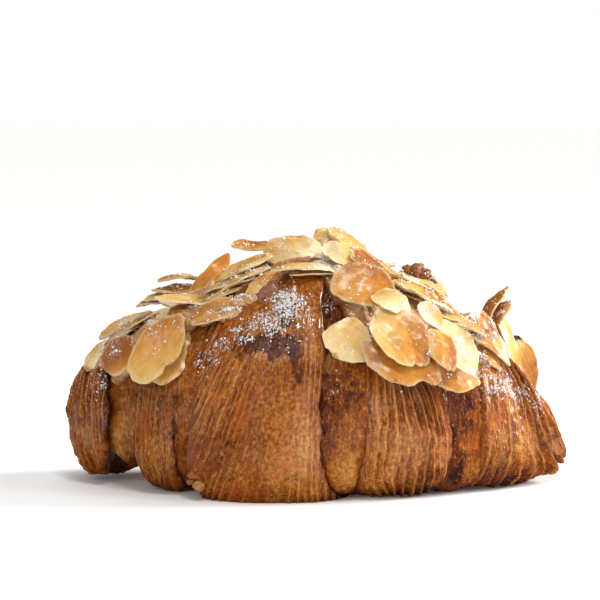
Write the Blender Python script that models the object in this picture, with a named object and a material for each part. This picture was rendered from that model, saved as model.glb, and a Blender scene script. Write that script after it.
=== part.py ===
# An almond croissant: a laminated pastry roll, bent into a shallow crescent, with a crust of
# flaked almonds set in almond cream over its back. Blender units are metres; the shape functions
# below work in millimetres and are scaled as each mesh is made. +X runs along the roll, -Y is the
# convex side of the crescent, +Z is up.
import math
import random
from collections import namedtuple

import bmesh
import bpy
from mathutils import Matrix, Vector
from mathutils.bvhtree import BVHTree

MM = 0.001
MIDDLE = Vector((1.5, -1.4, 0.0))       # the point of the table under the middle of the whole

# The roll, as a tapering tube on a curved spine. Left and right are as seen from the convex side.
REACH = 73.0            # from the middle of the spine to either end, along X
SAG = 30.0              # how far the ends lie behind the middle
PEAK = 69.0             # height of the pastry at its middle
CREST_ROUND = 8.0       # the larger, the blunter the peak
CREST_SPREAD = {"left": 104.0, "right": 80.0}   # where each slope would meet the table
CREST_POWER = {"left": 1.24, "right": 1.4}      # 1 is a straight slope, 2 a rounded one
BELLY = 38.0            # half the depth at the middle
BELLY_SPREAD = 84.0     # where the depth would come to nothing
WAIST = 0.42            # height of the widest line, as a share of the crest
WAIST_GAIN = {"left": 0.22, "right": -0.12}     # and how that share changes towards each end
CAP = 12.0              # length over which each end rounds off
TIP_RISE = {"left": 9.0, "right": 7.0}          # how far the underside lifts at each end
TIP_START = 55.0
TOP_SQUARENESS = 2.2    # superellipse exponents of the section
BASE_SQUARENESS = 2.7
LEAN_LEVEL = 23.0       # height at which a leaning wrap keeps its own place

# The roll's inner layers, which show between the wraps.
CORE_DEPTH = 3.4        # how far they lie under the wraps' outer face
CORE_SINK = {"left": -3.0, "right": 5.0}        # how far they would reach under the table
CORE_RINGS = 26
RING = 28               # points round the roll

# The outer wraps, from left to right: where each starts and ends on the spine, how proud it is,
# how far its round bottom would reach under the table, and the spacing of its leaf edges.
Wrap = namedtuple("Wrap", "name start end proud sink leaf")
WRAPS = (
    Wrap("tip_left", -73.0, -53.0, 1.8, 0.5, 4.2),
    Wrap("shoulder_left", -42.5, -30.5, 1.0, 4.0, 3.6),
    Wrap("belly", -25.0, 1.5, 1.4, 7.0, 5.4),
    Wrap("shoulder_right", 6.0, 29.5, 0.6, 5.5, 4.2),
    Wrap("tip_right", 38.0, 73.0, 1.0, 4.5, 4.4),
)
ROOT = 7.0              # a wrap's edges go this far under its face
LEAF_DEPTH = 0.9        # step between one leaf edge and the next
PLAIN_STEP = 7.0        # between the rings of a wrap without leaf edges
SWELL = 0.9             # how much a wrap bulges between its edges
WOBBLE = 0.7            # unevenness of the dough

# Almond cream and flaked almonds.
CREAM_LEVEL = 1.6       # underside of the cream over the roll's mean surface
CREAM_THICK = 1.8
CREAM_ENDS = (-66.0, 62.0)
CREAM_ROOT = 9.0
CREAM_GRID = (30, 8)    # steps along the roll and over it
CLEARANCE = 0.8         # of the topping over the pastry, both without their fine relief
FLAKE_THICK = 1.15
FLAKE_SIDES = 10
DIG_LIMIT = 4.0         # a flake is pressed at most this far into the roll
IN_FRONT = -60.0        # where a flake starts that is pushed away from the viewer
EYE = Vector((-4.5, -693.4, 110.6))     # where the croissant is seen from
EYE_DIP = math.radians(4.5)             # and how far that looks down

# Flakes on the near side, lowest first. The first two values are the centre as seen from EYE, on
# the plane through the middle that faces it. Turn (left negative, right positive) and rise tell
# where the broad face looks: 0, 0 looks at the viewer and rise 90 looks up. Spin is the long axis
# against the table, as seen. Each is pushed away from the viewer, or down if it stands on the
# crest, until it touches what lies there, and then dig further.
Flake = namedtuple("Flake", "across up turn rise spin length width dig fall")
NEAR_FLAKES = (
    # left end, hanging and lying flat
    Flake(-65.0, 38.8, -70, 30, 55, 13, 8, 1.0, "down"),
    Flake(-58.0, 35.0, -30, 20, 80, 14, 10, 0.6, "in"),
    Flake(-42.0, 38.5, 0, 26, 62, 21, 15, 0.6, "in"),
    Flake(-31.5, 50.0, -16, 50, 30, 17, 11, 0.8, "in"),
    Flake(-56.9, 47.3, -50, 58, 40, 18, 11, 1.0, "down"),
    Flake(-51.0, 46.9, -45, 55, 33, 16, 10, 0.8, "down"),
    Flake(-46.2, 42.2, -14, 28, 60, 25, 16.5, 2.0, "in"),
    # left shelf, seen edge on
    Flake(-48.4, 54.4, -20, 80, 0, 16, 10, 0.6, "down"),
    Flake(-35.0, 55.0, -8, 76, 9, 23, 12, 0.6, "down"),
    Flake(-43.8, 56.6, -10, 84, 1, 16, 10, 0.5, "down"),
    Flake(-41.5, 59.0, -10, 82, 3, 17, 9, 0.5, "down"),
    Flake(-27.2, 59.4, -60, 64, 33, 20, 9, 0.6, "down"),
    Flake(-38.5, 61.9, -12, 80, -4, 18, 9, 0.5, "down"),
    Flake(-23.3, 62.7, -60, 64, 34, 20, 9, 0.5, "down"),
    Flake(-31.4, 62.4, 20, 24, 45, 21, 8.5, 1.5, "down"),
    Flake(-21.2, 66.0, -58, 62, 36, 16, 8, 0.5, "down"),
    Flake(-15.1, 60.6, -10, 40, 50, 13, 7.5, 2.0, "in"),
    # crown
    Flake(-3.3, 66.0, 0, 62, -4, 17, 10, 0.6, "in"),
    Flake(-18.1, 70.8, -12, 82, 3, 15, 9, 0.5, "down"),
    Flake(-5.4, 70.1, -6, 40, -10, 21, 13, 0.8, "down"),
    Flake(7.0, 69.4, 6, 42, -50, 15, 10, 0.6, "down"),
    Flake(1.8, 74.1, 0, 40, 70, 13, 10, 0.8, "down"),
    Flake(9.7, 72.6, 60, 54, -33, 15, 9, 0.6, "down"),
    Flake(19.7, 64.5, 66, 46, -42, 21, 12, 0.6, "down"),
    # right side, lying flat
    Flake(42.4, 31.4, 24, 20, -10, 17, 12, 1.2, "in"),
    Flake(15.5, 60.1, 8, 30, -15, 20, 13.5, 0.6, "in"),
    Flake(9.7, 43.4, -2, 16, -40, 17, 14, 0.8, "in"),
    Flake(26.6, 38.8, 10, 26, -32, 24, 18, 1.2, "in"),
    Flake(23.3, 54.6, 12, 40, -30, 13, 10, 1.2, "in"),
    Flake(26.4, 44.3, 10, 28, -52, 21, 17, 2.0, "in"),
    Flake(34.2, 51.0, 18, 36, -60, 12, 7, 2.4, "in"),
    Flake(38.2, 40.0, 20, 28, -66, 15, 9, 2.8, "in"),
    Flake(43.3, 41.5, 26, 28, -58, 20, 13, 3.0, "in"),
    # right shelf, seen edge on
    Flake(30.6, 58.4, 50, 62, -38, 17, 9, 0.8, "down"),
    Flake(32.6, 61.6, 50, 60, -35, 15, 9, 0.6, "down"),
    Flake(37.0, 55.2, 50, 62, -33, 18, 9, 0.8, "down"),
    Flake(44.5, 49.7, 46, 60, -35, 15, 8, 0.8, "down"),
    Flake(51.5, 40.0, 42, 44, -45, 14, 7, 0.8, "down"),
    # right end, standing on edge
    Flake(52.6, 45.6, 34, 18, -62, 15, 10, 2.0, "down"),
    Flake(53.5, 51.5, -67, 30, 50, 19, 10, 4.0, "down"),
    Flake(56.4, 51.0, -52, 26, 52, 16, 9, 3.0, "down"),
    Flake(58.6, 40.6, 66, 12, -73, 22, 9, 4.0, "down"),
    Flake(63.3, 36.5, 24, 6, -68, 19, 10.5, 4.0, "down"),
)

# Flakes on the far side follow a rule: rows of them down the back, jittered.
FAR_ROWS = (104, 124, 146)      # angle round the roll, from the near side over the top
FAR_ENDS = (-54.0, 58.0)
FAR_STEP = 12.5
FAR_SEED = 11


def side(x):
    return "left" if x < 0 else "right"


def bump(x, middle, width):
    return math.exp(-(((x - middle) / width) ** 2))


def shelf(x, middle, width):
    """Like bump, with a flat top."""
    return math.exp(-(((x - middle) / width) ** 4))


def spine_y(x):
    return SAG * (x / REACH) ** 2


def spine_turn(x):
    return math.atan(2 * SAG * x / REACH**2)


def crest(x):
    """Height of the pastry's top line, rounded off at the middle."""
    away = math.hypot(x, CREST_ROUND) - CREST_ROUND
    return PEAK * (1 - (away / CREST_SPREAD[side(x)]) ** CREST_POWER[side(x)])


def waist(x):
    return crest(x) * (WAIST + WAIST_GAIN[side(x)] * (x / REACH) ** 2)


def half_depth(x):
    return BELLY * (1 - (x / BELLY_SPREAD) ** 2)


def lean(x):
    """Shift along X for each millimetre of height: the wraps spiral, so their edges lean."""
    return 0.10 * bump(x, -22, 20) - 0.10 * bump(x, 24, 12) - 0.007 * max(0.0, x - 42)


def cap(x):
    """How much of the full section is left at x: 1 along the roll, 0 at its ends."""
    past = max(0.0, (abs(x) - (REACH - CAP)) / CAP)
    return math.sqrt(max(0.01, 1 - past**2))


def unevenness(x, angle, seed=0.0):
    """A smooth wobble of the dough between about -1 and 1."""
    return (
        math.sin(0.11 * x + 2.0 * angle + seed) * math.cos(0.07 * x - 1.3 * angle + 2 * seed)
        + 0.5 * math.sin(0.31 * x - 3.0 * angle + 1.7 * seed)
    ) / 1.5


def tip_rise(x):
    """How far the underside lifts off the table towards each end."""
    return TIP_RISE[side(x)] * max(0.0, (abs(x) - TIP_START) / (REACH - TIP_START)) ** 2


def surface(x, angle, offset=0.0, sink=0.0):
    """The point at x on the spine and angle round it (0 near side, 90 top, 180 far side, in
    degrees), offset outwards."""
    a = math.radians(angle)
    across, rise = math.cos(a), math.sin(a)
    power = TOP_SQUARENESS if rise >= 0 else BASE_SQUARENESS
    stretch = (abs(across) ** power + abs(rise) ** power) ** (-1 / power)
    level = waist(x)
    height = crest(x) - level if rise >= 0 else level + sink - tip_rise(x)
    near = (half_depth(x) + offset) * across * stretch * cap(x)
    up = (height + offset) * rise * stretch * cap(x)
    turn = spine_turn(x)
    return Vector(
        (
            x + near * math.sin(turn) + lean(x) * (level + up - LEAN_LEVEL),
            spine_y(x) - near * math.cos(turn),
            level + up,
        )
    )


def leaf_step(index):
    """Relief of the leaf edges on a wrap: three rings to a leaf, groove, edge and back."""
    return (-LEAF_DEPTH, 0.0, -0.4 * LEAF_DEPTH)[index % 3]


def wrap_edge(at, inward, grow):
    """The rings at one edge of a wrap, outermost first: rolled in, or domed at the roll's end."""
    if abs(at) == REACH:
        return [(at + inward * (inset - grow), 0.0) for inset in (0.25, 1.4, 3.4, 6.2)]
    edge = ((1.6, -ROOT), (0.2, -0.62 * ROOT), (0.0, -0.22 * ROOT), (0.9, 0.0))
    return [(at + inward * (inset - grow), drop) for inset, drop in edge]


def wrap_rings(wrap, grow):
    """The rings of a wrap as (x, offset): one edge, the face with its leaves, the other edge."""
    first = wrap_edge(wrap.start, 1, grow)
    last = wrap_edge(wrap.end, -1, grow)[::-1]
    face = (first[-1][0], last[0][0])
    pitch = PLAIN_STEP if grow else wrap.leaf / 3
    count = max(2, round((face[1] - face[0]) / pitch))
    rings = []
    for i in range(1, count):
        swell = SWELL * math.sin(math.pi * i / count)
        step = 0.0 if grow else leaf_step(i)
        rings.append((face[0] + (face[1] - face[0]) * i / count, swell + step))
    return [(x, wrap.proud + offset) for x, offset in first + rings + last]


def tube(name, rings, sink_of, grow=0.0, seed=0.0):
    """A closed tube through rings of (x, offset), with a point at each end."""
    bm = bmesh.new()
    loops = []
    for x, offset in rings:
        loop = []
        for i in range(RING):
            angle = 360 * i / RING
            wobble = WOBBLE * unevenness(x, math.radians(angle), seed)
            at = surface(x, angle, offset + wobble + grow, sink_of(x))
            loop.append(bm.verts.new(at * MM))
        loops.append(loop)
    for first, second in zip(loops, loops[1:]):
        for i in range(RING):
            j = (i + 1) % RING
            bm.faces.new((first[i], first[j], second[j], second[i]))
    for loop in (loops[0], loops[-1]):
        middle = sum((v.co for v in loop), Vector()) / RING
        tip = bm.verts.new(middle)
        for i in range(RING):
            bm.faces.new((loop[i], loop[(i + 1) % RING], tip))
    bmesh.ops.recalc_face_normals(bm, faces=bm.faces)
    return add_mesh(name, bm)


def add_mesh(name, bm):
    bmesh.ops.triangulate(bm, faces=bm.faces)
    mesh = bpy.data.meshes.new(name)
    bm.to_mesh(mesh)
    bm.free()
    thing = bpy.data.objects.new(name, mesh)
    bpy.context.scene.collection.objects.link(thing)
    return thing


def core_rings():
    ends = REACH - 5
    return [(-ends + 2 * ends * i / CORE_RINGS, -CORE_DEPTH) for i in range(CORE_RINGS + 1)]


def core_sink(x):
    """The inner layers keep clear of the table from the middle to the left end."""
    share = min(1.0, abs(x) / 40)
    return CORE_SINK["right"] + (CORE_SINK[side(x)] - CORE_SINK["right"]) * share


def boolean(target, operation, others):
    """Applies one Boolean of target with the other objects, then removes those."""
    group = bpy.data.collections.new("operands")
    bpy.context.scene.collection.children.link(group)
    for other in others:
        group.objects.link(other)
    modifier = target.modifiers.new("boolean", "BOOLEAN")
    modifier.operation = operation
    modifier.operand_type = "COLLECTION"
    modifier.collection = group
    modifier.solver = "EXACT"
    graph = bpy.context.evaluated_depsgraph_get()
    made = bpy.data.meshes.new_from_object(target.evaluated_get(graph))
    target.modifiers.clear()
    target.data = made
    for other in others:
        bpy.data.objects.remove(other)
    bpy.data.collections.remove(group)
    return target


def roll(name, grow=0.0):
    """The whole pastry: its inner layers and its wraps, joined."""
    core = tube(name, core_rings(), core_sink, grow)
    wraps = [
        tube(wrap.name, wrap_rings(wrap, grow), lambda x, w=wrap: w.sink, grow, seed)
        for seed, wrap in enumerate(WRAPS)
    ]
    return boolean(core, "UNION", wraps)


def table_block():
    bm = bmesh.new()
    size = Matrix.Diagonal((0.4, 0.4, 0.05, 1))
    bmesh.ops.create_cube(bm, size=1, matrix=Matrix.Translation((0, 0, -0.025)) @ size)
    return add_mesh("table_block", bm)


def cream_edge(x):
    """Angles round the roll at which the cream stops, on the near side and on the far side."""
    near = 60 - 36 * shelf(x, -46, 16) - 40 * shelf(x, 26, 22) + 3 * math.sin(0.7 * x)
    far = 136 + 18 * bump(x, -24, 18) + 16 * bump(x, 36, 15) + 3 * math.sin(0.6 * x)
    return near, far


def cream_thickness(x, angle, inset):
    """Thickness of the cream, thinner where inset, the share of its width, nears the hem."""
    thick = CREAM_THICK * min(1.0, 0.45 + 2.2 * inset)
    thick *= min(1.0, 0.1 + (x - CREAM_ENDS[0]) / 11, 0.1 + (CREAM_ENDS[1] - x) / 11)
    heaps = 0.8 * bump(x, 24, 15) + 0.8 * bump(x, -45, 12) + 1.6 * bump(x, 9, 5)
    return thick + heaps + 0.5 * unevenness(3 * x, 3 * math.radians(angle), 4)


def cream():
    """The spread of almond cream, rooted deep in the roll so that the roll can be cut from it."""
    bm = bmesh.new()
    along, over = CREAM_GRID
    outer, inner = [], []
    for i in range(along + 1):
        x = CREAM_ENDS[0] + (CREAM_ENDS[1] - CREAM_ENDS[0]) * i / along
        near, far = cream_edge(x)
        for j in range(over + 1):
            angle = near + (far - near) * j / over
            level = CREAM_LEVEL + cream_thickness(x, angle, min(j, over - j) / over)
            outer.append(bm.verts.new(surface(x, angle, level) * MM))
            inner.append(bm.verts.new(surface(x, angle, -CREAM_ROOT) * MM))
    row = over + 1
    for sheet in (outer, inner):
        for i in range(along):
            for k in range(i * row, i * row + over):
                bm.faces.new((sheet[k], sheet[k + row], sheet[k + row + 1], sheet[k + 1]))
    rim = [i * row for i in range(along)] + list(range(along * row, along * row + over))
    rim += [i * row + over for i in range(along, 0, -1)] + list(range(over, 0, -1))
    for k, m in zip(rim, rim[1:] + rim[:1]):
        bm.faces.new((outer[k], outer[m], inner[m], inner[k]))
    bmesh.ops.recalc_face_normals(bm, faces=bm.faces)
    return add_mesh("almond_topping", bm)


def flake_mesh(name, length, width, bend):
    """One slice of almond: an egg-shaped outline with a blunt point, bent along its length."""
    bm = bmesh.new()
    rims = []
    for level in (-0.5, 0.5):
        rim = []
        for i in range(FLAKE_SIDES):
            t = 2 * math.pi * i / FLAKE_SIDES
            x = 0.5 * length * math.cos(t)
            y = 0.5 * width * math.sin(t) * (1 - 0.22 * math.cos(t))
            z = level * FLAKE_THICK - bend * (2 * x / length) ** 2
            rim.append(bm.verts.new(Vector((x, y, z)) * MM))
        middle = bm.verts.new(Vector((0, 0, level * FLAKE_THICK)) * MM)
        for i in range(FLAKE_SIDES):
            bm.faces.new((rim[i], rim[(i + 1) % FLAKE_SIDES], middle))
        rims.append(rim)
    for i in range(FLAKE_SIDES):
        j = (i + 1) % FLAKE_SIDES
        bm.faces.new((rims[0][i], rims[0][j], rims[1][j], rims[1][i]))
    bmesh.ops.recalc_face_normals(bm, faces=bm.faces)
    return add_mesh(name, bm)


def stand(thing, place, normal, long_axis):
    """Puts a flake at place, its face along normal and its length along long_axis."""
    z = normal.normalized()
    x = (long_axis - z * long_axis.dot(z)).normalized()
    turned = Matrix((x, z.cross(x), z)).transposed().to_4x4()
    thing.data.transform(Matrix.Translation(place * MM) @ turned)


def near_flake(flake, index):
    """A flake set where it is seen, in the air before the roll or over it, and its way from
    there."""
    through = Vector(
        (flake.across, flake.up * math.sin(EYE_DIP), flake.up * math.cos(EYE_DIP))
    )
    sight = (through - EYE).normalized()
    behind = spine_y(flake.across) if flake.fall == "down" else IN_FRONT
    place = EYE + sight * ((behind - EYE.y) / sight.y)
    turn, rise, spin = (math.radians(v) for v in (flake.turn, flake.rise, flake.spin))
    normal = Vector(
        (math.sin(turn) * math.cos(rise), -math.cos(turn) * math.cos(rise), math.sin(rise))
    )
    bend = (0.9, 1.6, 0.3, 1.2)[index % 4]
    thing = flake_mesh(f"near_{index}", flake.length, flake.width, bend)
    stand(thing, place, normal, Vector((math.cos(spin), 0, math.sin(spin))))
    return thing, sight if flake.fall == "in" else Vector((0, 0, -1))


def way_to_pile(thing, way, pile):
    """How far a flake can go along way before it touches one of the things in the pile; less
    than nothing if it already lies in them."""
    own = [v.co.copy() for v in thing.data.vertices]
    faces = [tuple(p.vertices) for p in thing.data.polygons]
    own_tree = BVHTree.FromPolygons(own, faces)
    middle = sum(own, Vector()) / len(own)
    reach = max((at - middle).length for at in own)
    back = way * (-IN_FRONT * MM)
    found = []
    for tree, points in pile:
        for at in own:
            hit = tree.ray_cast(at - back, way)[3]
            if hit is not None:
                found.append(hit - back.length)
        for at in points:
            away = at - middle
            if (away - way * away.dot(way)).length < reach:
                hit = own_tree.ray_cast(at + back, -way)[3]
                if hit is not None:
                    found.append(hit - back.length)
    return min(found) if found else 0.0


def settle(flakes, pastry, spread):
    """Pushes each flake in turn on to the roll, and on until it also touches the spread or a
    flake before it, so that the topping holds together."""
    under, pile = [as_pile(pastry)], [as_pile(spread)]
    for thing, way, dig in flakes:
        gap = way_to_pile(thing, way, under + pile)
        further = min(way_to_pile(thing, way, pile), gap + DIG_LIMIT * MM)
        step = max(0.0, max(gap, further) + dig * MM)
        thing.data.transform(Matrix.Translation(way * step))
        pile.append(as_pile(thing))
    return [thing for thing, _, _ in flakes]


def as_pile(thing):
    points = [v.co.copy() for v in thing.data.vertices]
    return BVHTree.FromPolygons(points, [tuple(p.vertices) for p in thing.data.polygons]), points


def far_flakes():
    """Rows of flakes down the far side, shingled, with a seeded draw for their unevenness."""
    draw = random.Random(FAR_SEED)
    made = []
    for row, angle in enumerate(FAR_ROWS):
        x = FAR_ENDS[0] + 5 * row
        while x < FAR_ENDS[1]:
            at, turned = x + draw.uniform(-2.5, 2.5), angle + draw.uniform(-6, 6)
            if turned < cream_edge(at)[1] - 2:
                foot = surface(at, turned, 0)
                normal = (surface(at, turned, 10) - foot).normalized()
                tilt = Vector((draw.uniform(-0.4, 0.4), draw.uniform(-0.2, 0.4), 0.25))
                length = draw.uniform(14, 21)
                lift = CREAM_THICK + draw.uniform(0.8, 2.4)
                thing = flake_mesh(
                    f"far_{len(made)}", length, length * draw.uniform(0.58, 0.75), 1.2
                )
                spin = draw.uniform(0, math.pi)
                long_axis = Vector((math.cos(spin), 0.3, math.sin(spin)))
                stand(thing, foot + normal * lift, (normal + tilt).normalized(), long_axis)
                made.append(thing)
            x += FAR_STEP
    return made


def keep_largest(thing):
    """Drops the loose scraps that the cutting leaves."""
    bm = bmesh.new()
    bm.from_mesh(thing.data)
    left, groups = set(bm.verts), []
    while left:
        group, edge = set(), [left.pop()]
        while edge:
            vert = edge.pop()
            group.add(vert)
            for link in vert.link_edges:
                other = link.other_vert(vert)
                if other in left:
                    left.remove(other)
                    edge.append(other)
        groups.append(group)
    groups.sort(key=len)
    for group in groups[:-1]:
        bmesh.ops.delete(bm, geom=list(group), context="VERTS")
    bm.to_mesh(thing.data)
    bm.free()


def finish(thing, colour, roughness):
    material = bpy.data.materials.new(thing.name)
    material.use_nodes = True
    shader = material.node_tree.nodes["Principled BSDF"]
    shader.inputs["Base Color"].default_value = (*colour, 1)
    shader.inputs["Roughness"].default_value = roughness
    shader.inputs["Metallic"].default_value = 0
    thing.data.materials.clear()
    thing.data.materials.append(material)
    thing.data.shade_smooth()
    thing.data.set_sharp_from_angle(angle=math.radians(30))


def main():
    for thing in list(bpy.data.objects):
        bpy.data.objects.remove(thing)
    pastry = roll("pastry")
    spread = cream()
    near = [(*near_flake(flake, i), flake.dig) for i, flake in enumerate(NEAR_FLAKES)]
    topping = boolean(spread, "UNION", settle(near, pastry, spread) + far_flakes())
    boolean(topping, "DIFFERENCE", [roll("cutter", CLEARANCE)])
    keep_largest(topping)
    boolean(pastry, "DIFFERENCE", [table_block()])
    for thing, colour, roughness in (
        (pastry, (0.42, 0.19, 0.07), 0.45),
        (topping, (0.80, 0.55, 0.26), 0.40),
    ):
        thing.data.transform(Matrix.Translation(-MIDDLE * MM))
        finish(thing, colour, roughness)


main()
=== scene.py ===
import math

import bpy
import numpy as np
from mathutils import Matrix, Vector


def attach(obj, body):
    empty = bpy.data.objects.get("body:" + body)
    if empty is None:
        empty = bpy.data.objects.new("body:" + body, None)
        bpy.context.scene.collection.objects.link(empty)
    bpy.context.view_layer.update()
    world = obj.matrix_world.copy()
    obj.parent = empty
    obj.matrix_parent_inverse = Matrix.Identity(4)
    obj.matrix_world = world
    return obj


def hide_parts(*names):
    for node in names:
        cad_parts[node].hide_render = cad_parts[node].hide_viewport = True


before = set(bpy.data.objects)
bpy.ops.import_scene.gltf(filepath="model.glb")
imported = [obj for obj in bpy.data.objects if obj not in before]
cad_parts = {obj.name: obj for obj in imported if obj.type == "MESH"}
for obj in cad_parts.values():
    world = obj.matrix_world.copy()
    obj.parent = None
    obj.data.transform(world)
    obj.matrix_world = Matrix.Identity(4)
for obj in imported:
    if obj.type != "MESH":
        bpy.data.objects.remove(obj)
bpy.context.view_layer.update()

# An almond croissant. Lengths are in millimetres until a mesh is made, x runs along the roll,
# the viewer stands on the -y side.
bpy.ops.object.select_all(action="DESELECT")
mm = 0.001
middle = np.array((1.5, -1.4, 0.0))      # the roll's own zero, moved under the middle of the whole

rollForm = {
    "reach": 73, "sag": 30,             # half the length, and how far back the ends lie
    "peak": 69, "crestRound": 8,
    "spread": (104, 80), "power": (1.24, 1.4),          # left slope, right slope
    "belly": 38, "bellySpread": 84, "waist": 0.42, "waistGain": (0.22, -0.12),
    "cap": 12, "tipRise": (9, 7), "tipStart": 55, "topSquare": 2.2, "baseSquare": 2.7,
    "leanLevel": 23, "wobble": 0.7, "joinFrom": 347.14,
    "lift": [       # of the underside
        (-73, 6.5), (-69, 6.2), (-66, 5.6), (-62, 4.6), (-58, 3.4), (-54, 2.6), (-49, 2.4), (-46.5, 5),
        (-44.5, 5.6), (-42, 3.6), (-40, 3.6), (-36, 3.8), (-31, 3.6), (-27, 2.6), (-23, 1.6), (-16, 0.2),
        (-4, 0.2), (0, 0.9), (4, 2.9), (9, 4.3), (20, 4.8), (26, 4.7), (34, 4.9), (46, 5.7), (58, 7.5),
        (66, 9.2), (73, 12),
    ],
}


def pick(x, pair):      # the left or the right value of a pair
    return np.where(x < 0, pair[0], pair[1])


def follow(x, points):      # the value at x on a line through points
    return np.interp(x, *zip(*points))


def hump(x, at, width):
    return np.exp(-(((x - at) / width) ** 2))


def shelf(x, at, width):        # a hump with a flat top
    return np.exp(-(((x - at) / width) ** 4))


def ease(value, low, high):     # 0 below low, 1 above high, smooth between
    t = np.clip((value - low) / (high - low), 0, 1)
    return t * t * (3 - 2 * t)


def crestHeight(x):
    form = rollForm
    away = np.hypot(x, form["crestRound"]) - form["crestRound"]
    return form["peak"] * (1 - (away / pick(x, form["spread"])) ** pick(x, form["power"]))


def waistHeight(x):
    gain = pick(x, rollForm["waistGain"]) * (x / rollForm["reach"]) ** 2
    return crestHeight(x) * (rollForm["waist"] + gain)


def leanAt(x):
    return 0.10 * hump(x, -22, 20) - 0.10 * hump(x, 24, 12) - 0.007 * np.maximum(0, x - 42)


def capAt(x, full=2.0):     # how far the roll still reaches out near its ends; higher full is blunter
    past = np.maximum(0, (np.abs(x) - (rollForm["reach"] - rollForm["cap"])) / rollForm["cap"])
    return np.maximum(0.1**full, 1 - past**full) ** (1 / full)


def unevenness(x, a, seed=0.0):
    slow = np.sin(0.11 * x + 2.0 * a + seed) * np.cos(0.07 * x - 1.3 * a + 2 * seed)
    return (slow + 0.5 * np.sin(0.31 * x - 3.0 * a + 1.7 * seed)) / 1.5


def wobbleAt(x, angle, seed=0.0):       # the dough's unevenness, joined over the last stretch of the turn
    last = rollForm["joinFrom"]
    t = np.clip((angle - last) / (360 - last), 0, 1)
    before = unevenness(x, np.radians(np.minimum(angle, last)), seed)
    return rollForm["wobble"] * ((1 - t) * before + t * unevenness(x, 0, seed))


# the point at x along the roll and angle round it: 0 near side, 90 top, 180 far side
def onRoll(x, angle, offset=0.0, sink=0.0, lifted=1.0, full=2.0, tipRise=None):
    form = rollForm
    a = np.radians(angle)
    across, rise = np.cos(a), np.sin(a)
    power = np.where(rise >= 0, form["topSquare"], form["baseSquare"])
    stretch = (np.abs(across) ** power + np.abs(rise) ** power) ** (-1 / power)
    level, reach, start = waistHeight(x), form["reach"], form["tipStart"]
    lift = pick(x, tipRise or form["tipRise"]) * np.maximum(0, (np.abs(x) - start) / (reach - start)) ** 2
    lift = lift + lifted * follow(x, form["lift"])
    height = np.where(rise >= 0, crestHeight(x) - level, level + sink - lift)
    depth = form["belly"] * (1 - (x / form["bellySpread"]) ** 2)
    near = (depth + offset) * across * stretch * capAt(x, full)
    up = (height + offset) * rise * stretch * capAt(x, full)
    turn = np.arctan(2 * form["sag"] * x / reach**2)
    at = np.stack((
        x + near * np.sin(turn) + leanAt(x) * (level + up - form["leanLevel"]),
        form["sag"] * (x / reach) ** 2 - near * np.cos(turn),
        level + up,
    ), axis=-1)
    return at - middle


# smooth noise between -1 and 1 over cells of one unit; v comes round again after loop cells
def noise(u, v, seed, loop=256):
    table = np.random.default_rng(seed).uniform(-1, 1, (256, loop))
    u, v = np.broadcast_arrays(np.asarray(u, float), np.asarray(v, float))
    cu, cv = np.floor(u).astype(int), np.floor(v).astype(int)
    fu, fv = u - cu, v - cv
    fu, fv = fu * fu * (3 - 2 * fu), fv * fv * (3 - 2 * fv)
    low = table[cu % 256, cv % loop] * (1 - fv) + table[cu % 256, (cv + 1) % loop] * fv
    high = table[(cu + 1) % 256, cv % loop] * (1 - fv) + table[(cu + 1) % 256, (cv + 1) % loop] * fv
    return (low * (1 - fu) + high * fu) * 1.4


# noise over the corners of a piece: cells of a width along the roll, so many round it, and an own seed
def around(x, angle, seed):
    def lumps(width, cells, own, octaves=1):
        total = 0.0
        for k in range(octaves):
            size, wide = 2**k, cells * 2**k
            total = total + noise(x / width * size, angle / 360 * wide, seed + own + 31 * k, wide) / size
        return total
    return lumps


# edges of leaves at uneven spacing: share of the way over each leaf, and the leaf's own draw
def leaves(q, pitch, seed, ragged=0.45):
    draw = np.random.default_rng(seed)
    edges = np.cumsum(draw.uniform(1 - ragged, 1 + ragged, 400)) * pitch - 150
    k = np.clip(np.searchsorted(edges, q) - 1, 0, 398)
    return (q - edges[k]) / (edges[k + 1] - edges[k]), draw.uniform(0.0, 1.0, 400)[k]


def gridSheet(name, columns, rows):     # a flat sheet to be wrapped; gives each corner's place, 0 to 1
    bpy.ops.mesh.primitive_grid_add(x_subdivisions=columns, y_subdivisions=rows, size=2)
    sheet = bpy.context.object
    sheet.name = sheet.data.name = name
    at = np.empty(len(sheet.data.vertices) * 3)
    sheet.data.vertices.foreach_get("co", at)
    at = at.reshape(-1, 3)
    return sheet, (at[:, 0] + 1) / 2, (at[:, 1] + 1) / 2


def place(piece, points):
    piece.data.vertices.foreach_set("co", (points * mm).astype(np.float32).ravel())
    piece.data.update()


def mark(piece, name, values):      # a value, or a vector, for each corner, which the finish reads
    vector = np.ndim(values) == 2
    layer = piece.data.attributes.new(name, "FLOAT_VECTOR" if vector else "FLOAT", "POINT")
    layer.data.foreach_set("vector" if vector else "value", np.asarray(values, np.float32).ravel())


def closeUp(piece):     # joins the seam, closes both ends, turns the faces outwards
    bpy.ops.object.select_all(action="DESELECT")
    bpy.context.view_layer.objects.active = piece
    piece.select_set(True)
    bpy.ops.object.mode_set(mode="EDIT")
    bpy.ops.mesh.select_all(action="SELECT")
    bpy.ops.mesh.remove_doubles(threshold=2e-6)
    bpy.ops.mesh.fill_holes(sides=0)
    bpy.ops.mesh.select_all(action="SELECT")
    bpy.ops.mesh.normals_make_consistent(inside=False)
    bpy.ops.object.mode_set(mode="OBJECT")
    piece.data.shade_smooth()
    piece.select_set(False)


def cornersOf(piece):       # places and directions of the corners
    count = len(piece.data.vertices)
    at, facing = np.empty(count * 3), np.empty(count * 3)
    piece.data.vertices.foreach_get("co", at)
    piece.data.vertex_normals.foreach_get("vector", facing)
    return at.reshape(-1, 3) / mm, facing.reshape(-1, 3)


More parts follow.
